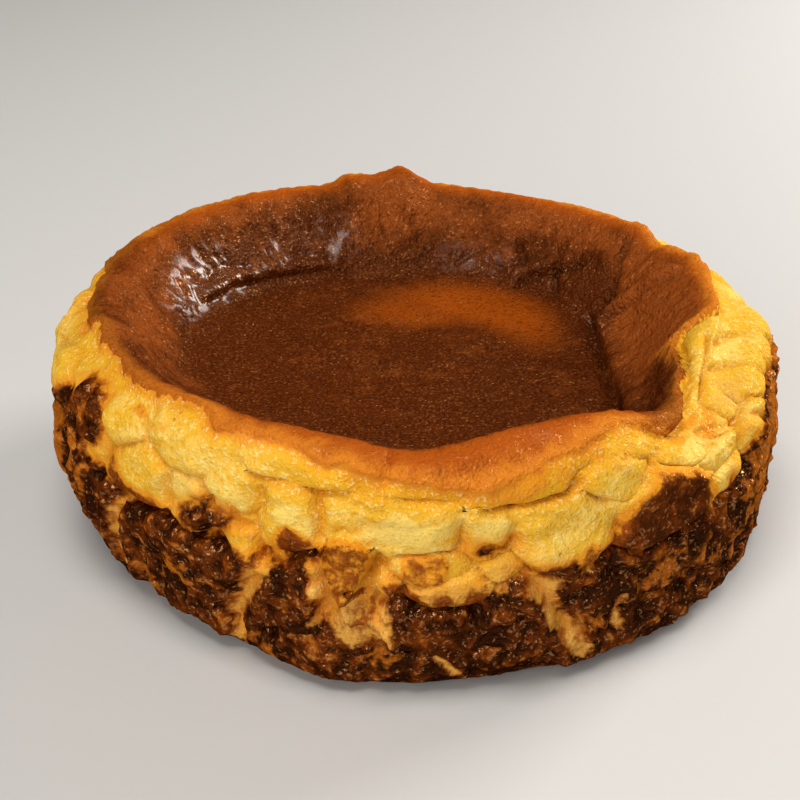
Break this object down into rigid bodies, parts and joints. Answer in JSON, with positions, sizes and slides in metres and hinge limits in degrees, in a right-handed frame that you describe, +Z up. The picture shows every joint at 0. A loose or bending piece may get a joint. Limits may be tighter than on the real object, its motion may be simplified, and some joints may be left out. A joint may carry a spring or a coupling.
{
  "type": "basque burnt cheesecake",
  "caption": "Round burnt cheesecake, whole and uncut, with a sunken dark top, a torn skin rim and lumpy sides with split dark crust.",
  "frame": {"origin": "centre of the bounding box, at the flat underside", "axes": "+Z up out of the sunken top, -Y toward the front of the cake as pictured"},
  "size_m": [0.1982, 0.1944, 0.0681],
  "materials": {
    "cheesecake": "baked crust: dark brown satin skin on top, moist yellow curd and dark brown crust round the side"
  },
  "bodies": {
    "root": {"cheesecake": "cheesecake"}
  },
  "joints": []
}
